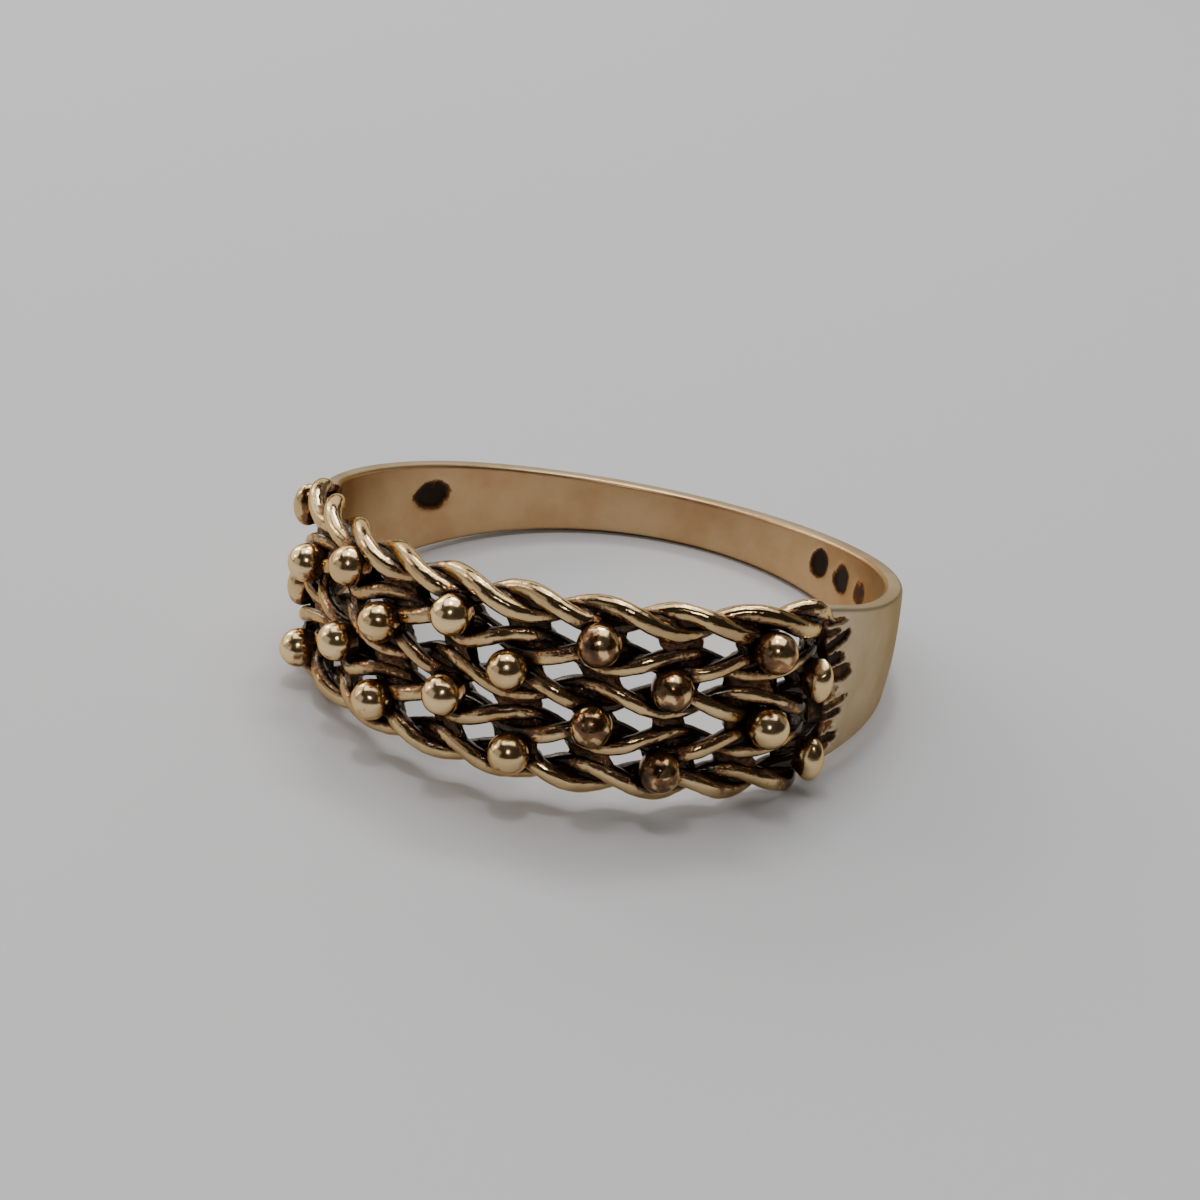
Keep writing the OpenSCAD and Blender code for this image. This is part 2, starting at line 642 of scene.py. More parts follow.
@dataclass
class Beads:
    """Round beads on every other joint; those of the outermost columns are squeezed in."""

    line: int
    layout: Layout = LAYOUT
    radius: float = 0.64
    lift: float = 0.64
    rings: int = 24
    # The squeezed beads: shares of the radius along, across and outwards
    end_lift: float = 0.45
    end_shape: Triple = (0.62, 1.12, 0.78)
    # Where a worn bead has its facet, and the share that is worn off there
    facet: Triple = (-0.45, 0.86, 0.24)
    facet_share: float = 0.9
    # The foot: how far it spreads, and between which heights
    foot: float = 0.28
    foot_span: Span = (-0.35, -0.95)
    lumpy: float = 0.02
    lump_wave: float = 1.4
    # The film: its middle strength, its fall along and across, and its blotches
    film: float = 0.5
    film_along: float = 0.15
    film_across: float = 0.2
    film_blotch: float = 0.6
    film_wave: float = 2.1
    flow_scale: float = 0.6
    # The upper and the lower bead of each column, from right to left
    settings: tuple[tuple[Setting, Setting], ...] = (
        (Setting(0.4, 0.02, 1.0, 0.35, 0.8), Setting(1.8, -0.13, 1.0, 0.1)),
        (Setting(2.5, -0.07, 1.02, 0.75), Setting(3.5, 0.0, 1.0, 0.3)),
        (Setting(-1.5, 0.0, 1.0, 0.95), Setting(-1.5, -0.1, 0.99, 1.0)),
        (Setting(-1.0, -0.07, 1.04, 1.05), Setting(-0.5, -0.1, 1.0, 0.95)),
        (Setting(-2.0, -0.09, 0.97, 0.35), Setting(0.0, -0.17, 1.0, 0.35)),
        (Setting(0.5, -0.14, 1.0, 0.4), Setting(0.5, -0.16, 1.0, 0.35)),
        (Setting(-1.0, 0.03, 1.0, 0.45), Setting(-1.0, 0.0, 1.0, 0.45)),
        (Setting(3.0, 0.0, 1.0, 0.4), Setting(1.5, -0.06, 1.0, 0.5)),
        (Setting(-1.5, 0.2, 1.0, 0.5), Setting(-2.5, -0.3, 1.0, 0.5)),
        (Setting(-1.0, 0.15, 1.0, 0.5), Setting(1.5, 0.0, 1.0, 0.45)),
    )

    def bead(self, column: int, setting: Setting) -> Mesh:
        """Meshes one bead with the foot that the solder drew out of it.

        Args:
            column: its column, from right to left.
            setting: its place and look.

        Returns:
            The bead in upright millimetres.
        """
        lay = self.layout
        mesh = bmesh.new()
        bmesh.ops.create_uvsphere(mesh, u_segments=2 * self.rings, v_segments=self.rings, radius=1.0)
        stain = mesh.verts.layers.float.new(Layer.STAIN.value)
        flow = mesh.verts.layers.float_vector.new(Layer.FLOW.value)
        at_end = column in (0, lay.columns - 1)
        along, across, out = self.end_shape if at_end else (1.0, 1.0, 1.0)
        angle = lay.column_at(column) + setting.along
        away = outward(angle)
        side = Vector((-away.y, away.x, 0.0))
        height = lay.joint_z(self.line) + setting.across
        lift = self.end_lift if at_end else self.lift
        middle = (lay.rope_r + lift) * away + Vector((0, 0, height))
        seed = Vector((column * 3.7, self.line * 1.3, 0.0))
        facet = Vector(self.facet)
        for vert in mesh.verts:
            co = vert.co.copy()
            spread = 1 + self.foot * smooth(*self.foot_span, co.z)
            co -= self.facet_share * max(0.0, co.dot(facet) - setting.flat) * facet
            lump = self.radius * setting.size * (1 + self.lumpy * noise.noise(co * self.lump_wave + seed))
            x, y, z = co.x * along * spread, co.y * across * spread, co.z * out
            vert.co = middle + lump * (side * x + away * z + Vector((0, 0, y)))
            film = self.film - self.film_along * co.x - self.film_across * co.y
            film += self.film_blotch * noise.noise(co * self.film_wave + seed)
            vert[stain] = setting.patina * film
            vert[flow] = Vector((co.x * self.flow_scale, co.y * self.flow_scale, column))
        face_out(mesh)
        return mesh

    def build(self) -> Mesh:
        """Meshes the beads of this line of joints.

        Returns:
            One mesh in upright millimetres.
        """
        upper = self.line >= (self.layout.ropes - 1) / 2
        columns = [c for c in range(self.layout.columns) if (self.line + c) % 2 == 0]
        return gather([self.bead(c, self.settings[c][0 if upper else 1]) for c in columns])


@dataclass(frozen=True)
class Cut:
    """One graver cut in the band beside the ropes, which starts in the band's sunk end."""

    height: float
    reach: float
    width: float
    depth: float
    stain: float
    tilt: float
    angle: float = 0.0

    # How much of it lies in the sunk end, and how ragged and how soft its outline is
    BURIED = 0.3
    RAGGED = 0.3
    SOFT_EDGE = (0.35, 1.35)

    @property
    def length(self) -> float:
        """Whole length, with what lies in the sunk end."""
        return self.reach + self.BURIED

    def amount(self, angle: float, height: float, radius: float) -> float:
        """How far inside the cut a place on the band lies.

        Args:
            angle: the place's angle, from -180 to 180.
            height: its height.
            radius: its distance from the axis.

        Returns:
            0 outside the cut and 1 in its middle.
        """
        x = math.radians(angle - self.angle) * radius
        y = height - self.height + self.tilt * x
        ragged = 1 + self.RAGGED * stray(angle * 1.6, height * 5.0, self.angle)
        away = (abs(x) / self.length * 2) ** 3 + (abs(y) / self.width * 2) ** 2
        return 1 - smooth(*self.SOFT_EDGE, away * ragged)


@dataclass(frozen=True)
class Dent:
    """One blank, soft-edged dent inside the band."""

    angle: float
    height: float
    along: float
    across: float
    depth: float
    stain: float

    # How ragged and how soft its outline is
    RAGGED = 0.1
    SOFT_EDGE = (0.55, 1.2)

    def amount(self, angle: float, height: float, radius: float) -> float:
        """How far inside the dent a place lies.

        Args:
            angle: the place's angle, from -180 to 180.
            height: its height.
            radius: its distance from the axis.

        Returns:
            0 outside the dent and 1 in its middle.
        """
        x = math.radians(fold(angle - self.angle)) * radius / self.along
        y = (height - self.height) / self.across
        ragged = 1 + self.RAGGED * stray(angle * 0.4, height * 2.2, self.angle)
        return 1 - smooth(*self.SOFT_EDGE, math.hypot(x, y) * ragged)


@dataclass
class Band:
    """The plain band, lightly crowned, with graver cuts and blank dents."""

    layout: Layout = LAYOUT
    back_half: float = 0.95
    shoulder_half: float = 2.6
    start: float = 61.8
    taper_start: float = 63.5
    # The shoulders' flare and the slight waist behind them, with the angles over which each changes
    flare: float = 0.12
    flare_out: Span = (62, 76)
    waist: float = 0.06
    waist_in: Span = (70, 84)
    waist_out: Span = (90, 125)
    crown_r: float = 16.0
    corner: float = 0.14
    outer_faces: int = 108
    inner_faces: int = 40
    corner_faces: int = 6
    # Degrees from station to station beside the ropes, at the dents and elsewhere
    fine_step: float = 0.26
    dent_step: float = 0.5
    plain_step: float = 1.5
    fine_until: float = 72.5
    dent_reach: float = 5.0
    # The sunk end: its edge, how far that slants and strays, and over which degrees it drops
    worn_until: float = 76.0
    edge_angle: float = 64.4
    edge_slant: float = 0.85
    edge_stray: float = 0.5
    edge_drop: float = 0.34
    edge_soft: Span = (-0.5, 0.4)
    # The rim thrown up beyond that edge: its height, distance and breadth
    rim: float = 0.02
    rim_angle: float = 0.9
    rim_breadth: float = 0.7
    # Stain of the sunk end, at no depth and added at full depth
    end_stain: Span = (0.25, 0.7)
    # Stain of the inside near the ropes, and the degrees over which it fades
    inside_stain: float = 0.42
    inside_fade: Span = (64.0, 78.0)
    uneven: float = 0.006
    # How deep the end lies sunk, as heights and shares of edge_drop
    sunk: tuple[Span, ...] = (
        (-2.7, 0.1),
        (-2.1, 0.4),
        (-1.6, 0.9),
        (-0.9, 0.4),
        (-0.2, 0.9),
        (0.6, 0.8),
        (1.3, 1.0),
        (1.8, 0.6),
        (2.3, 0.1),
    )
    # One side's cuts from the upper edge down: height, reach, width, depth, stain and tilt
    pattern: tuple[Cut, ...] = (
        Cut(2.28, 0.85, 0.22, 0.06, 0.40, 0.00),
        Cut(1.93, 0.72, 0.28, 0.07, 0.50, 0.05),
        Cut(1.58, 1.15, 0.40, 0.10, 0.72, 0.36),
        Cut(1.03, 0.92, 0.46, 0.10, 0.76, 0.10),
        Cut(0.52, 1.30, 0.56, 0.12, 0.62, 0.05),
        Cut(-0.10, 0.80, 0.56, 0.06, 0.34, 0.00),
        Cut(-0.50, 1.15, 0.28, 0.08, 0.46, 0.20),
        Cut(-0.88, 0.95, 0.30, 0.09, 0.55, 0.12),
        Cut(-1.30, 0.72, 0.50, 0.07, 0.42, 0.00),
        Cut(-1.77, 1.10, 0.42, 0.12, 0.70, 0.05),
        Cut(-2.10, 0.72, 0.30, 0.06, 0.38, 0.10),
        Cut(-2.46, 0.60, 0.22, 0.06, 0.52, 0.00),
    )
    cut_stray: float = 0.15
    cuts: list[Cut] = field(default_factory=list)
    # Angle, height, size along and across, depth and stain
    dents: tuple[Dent, ...] = (
        Dent(-113.6, 0.43, 0.92, 0.60, 0.08, 1.00),
        Dent(143.2, 0.20, 0.52, 0.56, 0.07, 1.05),
        Dent(134.4, 0.10, 0.54, 0.58, 0.07, 0.95),
        Dent(125.0, 0.15, 0.52, 0.50, 0.05, 0.62),
    )

    def __post_init__(self) -> None:
        """Lays out the graver cuts at both ends."""
        for side in (1, -1):
            for cut in self.pattern:
                shift = self.cut_stray * stray(cut.height * 3.3, side * 2.0)
                past = math.degrees((cut.reach - cut.length / 2 + shift) / self.layout.band_r)
                middle = self.edge_angle - self.edge_slant * cut.height + past
                self.cuts.append(replace(cut, angle=side * middle, tilt=-side * cut.tilt))

    def half_width(self, angle: float) -> float:
        """Half the band's width, with the shoulders flared a little.

        Args:
            angle: degrees from the middle of the front.

        Returns:
            The half width, which narrows evenly from the shoulders to the back.
        """
        span = 1 + math.cos(math.radians(self.taper_start))
        slope = (self.shoulder_half - self.back_half) / span
        folded = abs(fold(angle))
        flare = self.flare * (1 - smooth(*self.flare_out, folded))
        waist = self.waist * smooth(*self.waist_in, folded) * (1 - smooth(*self.waist_out, folded))
        return self.back_half + slope * (1 + math.cos(math.radians(angle))) + (flare - waist)

    def angles(self) -> list[float]:
        """Stations round the band, closer together at the cuts and dents.

        Returns:
            Their angles, from one end of the band round the back to the other.
        """
        found = [self.start]
        while found[-1] < 360 - self.start:
            here = found[-1]
            at_dent = any(abs(fold(here - dent.angle)) < self.dent_reach for dent in self.dents)
            step = self.dent_step if at_dent else self.plain_step
            found.append(here + (self.fine_step if abs(fold(here)) < self.fine_until else step))
        found[-1] = 360 - self.start
        return found

    def sunk_share(self, z: float) -> float:
        """Share of edge_drop at a height, between the steps of sunk.

        Args:
            z: the height.

        Returns:
            The share, from 0 to 1.
        """
        for (z0, share0), (z1, share1) in pairwise(self.sunk):
            if z < z1:
                return share0 + (share1 - share0) * max(0.0, (z - z0) / (z1 - z0))
        return self.sunk[-1][1]

    def crowned(self, z: float) -> float:
        """Outside radius at a height."""
        return self.layout.band_r - z * z / 2 / self.crown_r

    def worn_outside(self, angle: float, z: float, radius: float) -> tuple[float, float]:
        """Works out the cuts and the sunk end at a place on the outside.

        Args:
            angle: its angle, from -180 to 180.
            z: its height.
            radius: its distance from the axis.

        Returns:
            How much lower it lies, and its stain.
        """
        cut = max(self.cuts, key=lambda c: c.amount(angle, z, radius))
        inside = cut.amount(angle, z, radius)
        edge = self.edge_angle - self.edge_slant * z + self.edge_stray * stray(z * 1.7, angle // 180)
        before, after = self.edge_soft
        share = self.sunk_share(z)
        sunk = 1 - smooth(edge + before, edge + after, abs(angle))
        rim = math.exp(-(((abs(angle) - edge - self.rim_angle) / self.rim_breadth) ** 2))
        least, more = self.end_stain
        drop = max(cut.depth * inside, self.edge_drop * share * sunk) - self.rim * rim
        return drop, max(cut.stain * inside, (least + more * share) * sunk)

    def worn_inside(self, angle: float, z: float, radius: float) -> tuple[float, float]:
        """Works out the dents and stains at a place on the inside.

        Args:
            angle: its angle, from -180 to 180.
            z: its height.
            radius: its distance from the axis.

        Returns:
            Its new distance, and its stain.
        """
        stain = self.inside_stain * (1 - smooth(*self.inside_fade, abs(angle)))
        for dent in self.dents:
            inside = dent.amount(angle, z, radius)
            radius += dent.depth * inside
            stain = max(stain, dent.stain * inside)
        return radius, stain

    def outline(self, half: float) -> list[tuple[float, float, int]]:
        """Section of the band at one angle, in order round it.

        Args:
            half: half its width.

        Returns:
            Radius, height, and 1 for the outside, -1 for the inside or 0 for the edges.
        """
        c = self.corner
        flat = half - c
        outer = self.crowned(flat)
        inner = self.layout.finger_r
        quarter = [math.pi / 2 * i / self.corner_faces for i in range(self.corner_faces + 1)]
        arc = [(c * (1 - math.cos(t)), c * math.sin(t)) for t in quarter]
        back = arc[::-1]
        heights = [flat * (2 * i / self.outer_faces - 1) for i in range(self.outer_faces + 1)]
        depths = [flat * (1 - 2 * i / self.inner_faces) for i in range(1, self.inner_faces)]
        points = [(self.crowned(z), z, 1) for z in heights]
        points += [(outer - x, flat + y, 0) for x, y in arc[1:]]
        points += [(inner + x, flat + y, 0) for x, y in back]
        points += [(inner, z, -1) for z in depths]
        points += [(inner + x, -flat - y, 0) for x, y in arc]
        points += [(outer - x, -flat - y, 0) for x, y in back[:-1]]
        return points

    def build(self) -> Mesh:
        """Meshes the band.

        Returns:
            A closed mesh in upright millimetres.
        """
        angles = self.angles()
        sections = [self.outline(self.half_width(a)) for a in angles]
        count = len(sections[0])
        lay = self.layout

        def shape(i: int, k: int) -> Spot:
            """Point k of the section at station i.

            Args:
                i: the station along the piece.
                k: the point round it.

            Returns:
                The vertex there.
            """
            radius, z, face = sections[i][k % count]
            angle = fold(angles[i])
            stain = 0.0
            drop = 0.0
            if face < 0:
                radius, stain = self.worn_inside(angle, z, radius)
            elif abs(angle) < self.worn_until:
                drop, stain = self.worn_outside(angle, z, radius)
            if face > 0:
                radius += self.uneven * stray(angle * 0.12, z * 0.7, 2.0) - drop
            flow = Vector((math.radians(angle) * lay.band_r, z, 20.0 + face))
            return Spot(radius * outward(angle) + Vector((0, 0, z)), flow, stain)

        return Sheet(len(angles) - 1, count).bend(shape).close(0.003)


class Recesses:
    """Marks how deep in a recess each vertex lies, by looking out from it in many directions."""

    REACH = 1.3
    LIFT = 0.015
    FALLOFF = 0.6
    RAYS = 22
    QUICK_RAYS = 8

    def __init__(self, meshes: list[Mesh]) -> None:
        """Gathers every mesh into one search tree.

        Args:
            meshes: all parts of the ring, in upright millimetres.
        """
        verts: list[Vector] = []
        faces: list[list[int]] = []
        for mesh in meshes:
            mesh.verts.index_update()
            base = len(verts)
            verts += [v.co.copy() for v in mesh.verts]
            faces += [[base + v.index for v in f.verts] for f in mesh.faces]
        self.tree = BVHTree.FromPolygons(verts, faces)
        self.rays = self.spread(self.RAYS)

    @staticmethod
    def spread(count: int) -> list[Vector]:
        """Directions over a half sphere round +Z, denser towards its pole.

        Args:
            count: how many.

        Returns:
            Unit vectors on a spiral.
        """
        golden = math.pi * (3 - math.sqrt(5))
        found = []
        for i in range(count):
            r = math.sqrt((i + 0.5) / count)
            turn = i * golden
            found.append(Vector((r * math.cos(turn), r * math.sin(turn), math.sqrt(1 - r * r))))
        return found

    def mark(self, mesh: Mesh) -> None:
        """Writes the recess value to each vertex, 0 in the open and 1 deep down.

        Args:
            mesh: one of the meshes, whose own faces hide its vertices too.
        """
        layer = mesh.verts.layers.float.new(Layer.RECESS.value)
        mesh.normal_update()
        for vert in mesh.verts:
            turn = vert.normal.to_track_quat("Z", "Y")
            start = vert.co + vert.normal * self.LIFT
            hidden = 0.0
            for ray in self.rays:
                hit = self.tree.ray_cast(start, turn @ ray, self.REACH)
                if hit[0] is not None:
                    hidden += 1 - hit[3] / self.REACH * self.FALLOFF
            vert[layer] = hidden / len(self.rays)


class Tone(Enum):
    """Linear colours."""

    POLISHED = (0.93, 0.69, 0.37, 1.0)
    WORN = (0.70, 0.48, 0.24, 1.0)
    GILT = (0.74, 0.54, 0.28, 1.0)
    DULL = (0.50, 0.34, 0.17, 1.0)
    EDGE = (0.90, 0.73, 0.48, 1.0)
    SOFT = (0.40, 0.32, 0.22, 1.0)
    SATIN = (0.72, 0.585, 0.40, 1.0)
    BRUSHED = (0.61, 0.485, 0.31, 1.0)
    INSIDE = (0.66, 0.45, 0.24, 1.0)
    REDDISH = (0.58, 0.35, 0.17, 1.0)
    # Coppery tint of the patina's spots, partly tarnish and partly painted glints
    COPPERY = (0.56, 0.24, 0.10, 1.0)
    BROWN = (0.18, 0.068, 0.023, 1.0)
    BLACK = (0.015, 0.007, 0.003, 1.0)
    FLOOR = (0.61, 0.61, 0.618, 1.0)


class Nodes:
    """Short calls for building a node tree."""

    def __init__(self, tree: bpy.types.NodeTree) -> None:
        """Wraps a tree."""
        self.tree = tree

    def add(self, kind: str, **values: object) -> bpy.types.Node:
        """Adds a node and sets its properties.

        Args:
            kind: the node's type name without its ShaderNode start.
            values: properties to set.

        Returns:
            The node.
        """
        node = self.tree.nodes.new("ShaderNode" + kind)
        for name, value in values.items():
            setattr(node, name, value)
        return node

    def feed(self, value: object, socket: Socket) -> None:
        """Links a socket or sets a plain value.

        Args:
            value: a socket to link, or the value.
            socket: the input that takes it.
        """
        if isinstance(value, Socket):
            self.tree.links.new(value, socket)
        else:
            socket.default_value = value

    def math(self, operation: str, *values: object) -> Socket:
        """A Math node on values or sockets.

        Args:
            operation: the Math node's operation.
            values: its inputs.

        Returns:
            Its output.
        """
        node = self.add("Math", operation=operation)
        for value, socket in zip(values, node.inputs, strict=False):
            self.feed(value, socket)
        return node.outputs[0]

    def step(self, value: object, low: object, high: object) -> Socket:
        """Smooth step from 0 at low to 1 at high.

        Args:
            value: the socket to read.
            low: where the step starts.
            high: where it ends.

        Returns:
            The stepped value.
        """
        node = self.add("MapRange", interpolation_type="SMOOTHSTEP")
        self.feed(value, node.inputs["Value"])
        self.feed(low, node.inputs["From Min"])
        self.feed(high, node.inputs["From Max"])
        return node.outputs["Result"]

    def blend(self, amount: object, a: object, b: object) -> Socket:
        """Mixes two colours.

        Args:
            amount: 0 for a, 1 for b.
            a: first colour or socket.
            b: second colour or socket.

        Returns:
            The mixed colour.
        """
        node = self.add("Mix", data_type="RGBA")
        for value, socket in ((amount, node.inputs[0]), (a, node.inputs[6]), (b, node.inputs[7])):
            self.feed(value, socket)
        return node.outputs[2]

    def grain(self, vector: object, scale: float, detail: float = 4.0, rough: float = 0.55) -> Socket:
        """Noise around 0.5.

        Args:
            vector: coordinates to read.
            scale: waves to one unit of them.
            detail: octaves.
            rough: how strong the finer octaves are.

        Returns:
            The noise value.
        """
        node = self.add("TexNoise")
        self.feed(vector, node.inputs["Vector"])
        for name, value in (("Scale", scale), ("Detail", detail), ("Roughness", rough)):
            node.inputs[name].default_value = value
        return node.outputs["Fac"]

    def call(self, group: "Group", **inputs: object) -> bpy.types.Node:
        """Adds a shared group and feeds its inputs, which are given by name.

        Args:
            group: the shared group.
            inputs: a value or socket for each of its inputs.

        Returns:
            The group's node.
        """
        node = self.add("Group", node_tree=group.tree)
        for name, value in inputs.items():
            self.feed(value, node.inputs[name])
        return node


class Group:
    """A shared node group with named inputs and outputs."""

    def __init__(self, name: str, inputs: dict[str, str], outputs: dict[str, str]) -> None:
        """Starts the group.

        Args:
            name: its name.
            inputs: socket kind of each input, such as Float, Vector or Color.
            outputs: socket kind of each output.
        """
        self.tree = bpy.data.node_groups.new(name, "ShaderNodeTree")
        for way, sockets in (("INPUT", inputs), ("OUTPUT", outputs)):
            for title, kind in sockets.items():
                self.tree.interface.new_socket(title, in_out=way, socket_type="NodeSocket" + kind)
        self.kit = Nodes(self.tree)
        self.given = self.tree.nodes.new("NodeGroupInput").outputs
        self.result = self.tree.nodes.new("NodeGroupOutput").inputs


@dataclass(frozen=True)
class Patina:
    """The shared patina: brown, then black, in recesses and stains (on the wires the stain includes painted
    shade), with coppery spots that are partly tarnish and partly painted glints.

    Scales are waves to a metre, or to a unit of flow for the draw lines.
    """

    line_scale: Triple = (0.7, 8.0, 1.0)
    broad_scale: float = 1500.0
    fine_scale: float = 8000.0
    copper_and_glint_scale: float = 2600.0
    # How much the broad and the fine noise add to the level, and what is taken off again
    broad: float = 0.42
    fine: float = 0.36
    offset: float = -0.39
    # How a stain follows the broad noise
    stain_gain: float = 1.3
    stain_base: float = 0.35
    # Half the width of the step to brown, and how opaque the brown is
    soft: float = 0.09
    film: float = 0.93
    # Where the coppery spots, partly tarnish and partly painted glints, begin and are full, and their
    # strength
    copper_and_glint_step: Span = (0.53, 0.66)
    copper_and_glint: float = 0.75

    def build(self) -> Group:
        """Builds the node group.

        Returns:
            The group. Level 0 is bare metal and 1 is black.
        """
        inputs = {"Place": "Vector", "Flow": "Vector", "Recess": "Float", "Stain": "Float"}
        inputs |= {"Low": "Float", "High": "Float", "Streak": "Float", "Metal": "Color"}
        outputs = {"Color": "Color", "Film": "Float", "Dark": "Float", "Grain": "Float", "Lines": "Float"}
        group = Group("patina", inputs, outputs)
        kit, given, result = group.kit, group.given, group.result
        drawn = kit.add("Mapping")
        kit.feed(given["Flow"], drawn.inputs["Vector"])
        kit.feed(self.line_scale, drawn.inputs["Scale"])
        lines = kit.grain(drawn.outputs[0], 1.0, 5, 0.65)
        streaks = kit.math("MULTIPLY", kit.math("SUBTRACT", lines, 0.5), given["Streak"])
        broad = kit.grain(given["Place"], self.broad_scale, 3)
        fine = kit.grain(given["Place"], self.fine_scale, 4, 0.62)
        uneven = kit.math("MULTIPLY_ADD", fine, self.fine, self.offset)
        uneven = kit.math("MULTIPLY_ADD", broad, self.broad, uneven)
        blotches = kit.math("MULTIPLY_ADD", broad, self.stain_gain, self.stain_base)
        stained = kit.math("MULTIPLY", given["Stain"], blotches)
        level = kit.math("ADD", kit.math("ADD", given["Recess"], uneven), kit.math("ADD", stained, streaks))
        before = kit.math("SUBTRACT", given["Low"], self.soft)
        brown = kit.step(level, before, kit.math("ADD", given["Low"], self.soft))
        dark = kit.step(level, given["Low"], given["High"])
        # Coppery spots in the brown: partly tarnish, partly painted glints
        spots = kit.grain(given["Place"], self.copper_and_glint_scale, 3, 0.6)
        copper_and_glint = kit.math("MULTIPLY", kit.step(spots, *self.copper_and_glint_step), self.copper_and_glint)
        tint = kit.blend(copper_and_glint, Tone.BROWN.value, Tone.COPPERY.value)
        color = kit.blend(kit.math("MULTIPLY", brown, self.film), given["Metal"], tint)
        kit.feed(kit.blend(dark, color, Tone.BLACK.value), result["Color"])
        kit.feed(brown, result["Film"])
        kit.feed(dark, result["Dark"])
        kit.feed(fine, result["Grain"])
        kit.feed(lines, result["Lines"])
        return group


@dataclass(frozen=True)
class Wear:
    """The shared relief: draw lines along the metal, pits, and cast lumps where it is dark."""

    pit_scale: float = 5200.0
    lump_scale: float = 2100.0
    lines: float = 0.35
    pits: float = 0.6
    lumps: float = 2.6

    def build(self) -> Group:
        """Builds the node group.

        Returns:
            The group, with the relief's height from its Lines, Place and Dark inputs.
        """
        group = Group("wear", {"Lines": "Float", "Place": "Vector", "Dark": "Float"}, {"Height": "Float"})
        kit, given, result = group.kit, group.given, group.result
        pits = kit.grain(given["Place"], self.pit_scale, 5, 0.6)
        lumps = kit.math("MULTIPLY", kit.grain(given["Place"], self.lump_scale, 3, 0.5), given["Dark"])
        height = kit.math("MULTIPLY_ADD", given["Lines"], self.lines, kit.math("MULTIPLY", pits, self.pits))
        kit.feed(kit.math("MULTIPLY_ADD", lumps, self.lumps, height), result["Height"])
        return group


@dataclass(frozen=True)
class Gold:
    """A finish of the gold, with patina in its recesses.

    The metal turns brown at the level low and is black at high. Tarnish is how far the black is
    no longer metal, gloss the clear film on the brown, if any, and streak the patina's draw lines.
    """

    name: str
    bright: Tone
    worn: Tone
    roughness: float
    low: float
    high: float
    relief: float = 0.3
    streak: float = 0.0
    edge: Tone = Tone.EDGE
    tarnish: float = 0.6
    gloss: float = 0.4

    # Waves to a metre between bright and worn, and where that step begins and ends
    TONE_SCALE = 480.0
    TONE_STEP = (0.35, 0.68)
    # What the grain and the draw lines add to the roughness, and what is taken off for them
    GRAIN_ROUGH = 0.16
    LINE_ROUGH = 0.06
    ROUGH_OFFSET = 0.11
    # Metres of height to one unit of relief
    RELIEF_HEIGHT = 0.00003

    def build(self, patina: Group, wear: Group) -> bpy.types.Material:
        """Makes the material.

        Args:
            patina: the shared patina.
            wear: the shared surface relief.

        Returns:
            The material.
        """
        material = bpy.data.materials.new(self.name)
        material.use_nodes = True
        tree = material.node_tree
        tree.nodes.clear()
        kit = Nodes(tree)
        shader = kit.add("BsdfPrincipled")
        kit.feed(shader.outputs[0], kit.add("OutputMaterial").inputs["Surface"])
        shader.inputs["Specular Tint"].default_value = self.edge.value
        place = kit.add("TexCoord").outputs["Object"]
        recess, stain, flow = (kit.add("Attribute", attribute_name=layer.value) for layer in Layer)

        tone = kit.step(kit.grain(place, self.TONE_SCALE, 3), *self.TONE_STEP)
        tarnish = kit.call(
            patina,
            Place=place,
            Flow=flow.outputs["Vector"],
            Recess=recess.outputs["Fac"],
            Stain=stain.outputs["Fac"],
            Low=self.low,
            High=self.high,
            Streak=self.streak,
            Metal=kit.blend(tone, self.bright.value, self.worn.value),
        ).outputs
        relief = kit.call(wear, Place=place, Lines=tarnish["Lines"], Dark=tarnish["Dark"])
        kit.feed(tarnish["Color"], shader.inputs["Base Color"])

        base = self.roughness - self.ROUGH_OFFSET
        rough = kit.math("MULTIPLY_ADD", tarnish["Grain"], self.GRAIN_ROUGH, base)
        rough = kit.math("MULTIPLY_ADD", tarnish["Lines"], self.LINE_ROUGH, rough)
        kit.feed(rough, shader.inputs["Roughness"])
        bare = kit.math("MULTIPLY_ADD", tarnish["Dark"], -self.tarnish, 1.0)
        kit.feed(bare, shader.inputs["Metallic"])
        if self.gloss:
            kit.feed(kit.math("MULTIPLY", tarnish["Film"], self.gloss), shader.inputs["Coat Weight"])
        bump = kit.add("Bump")
        bump.inputs["Distance"].default_value = self.relief * self.RELIEF_HEIGHT
        kit.feed(relief.outputs["Height"], bump.inputs["Height"])
        kit.feed(bump.outputs[0], shader.inputs["Normal"])
        return material


class Finish(Enum):
    """The finishes of the pieces: tones, roughness, low, high, relief, streak, edge and gloss."""

    WIRE = Gold("wire_gold", Tone.GILT, Tone.DULL, 0.08, 0.17, 0.41, 0.6, 0.26)
    BEAD = Gold("bead_gold", Tone.POLISHED, Tone.WORN, 0.18, 0.40, 1.00, 0.25)
    SOLDER = Gold("solder_gold", Tone.WORN, Tone.DULL, 0.08, -0.04, 0.40, 3.2, gloss=0.25)
    BAND = Gold("band_gold", Tone.SATIN, Tone.BRUSHED, 0.42, 0.30, 0.80, 0.3, 0.1, Tone.SOFT, gloss=0.0)
    INSIDE = Gold("inside_gold", Tone.INSIDE, Tone.REDDISH, 0.38, 0.30, 0.80, 0.3, 0.0, Tone.SOFT, gloss=0.0)


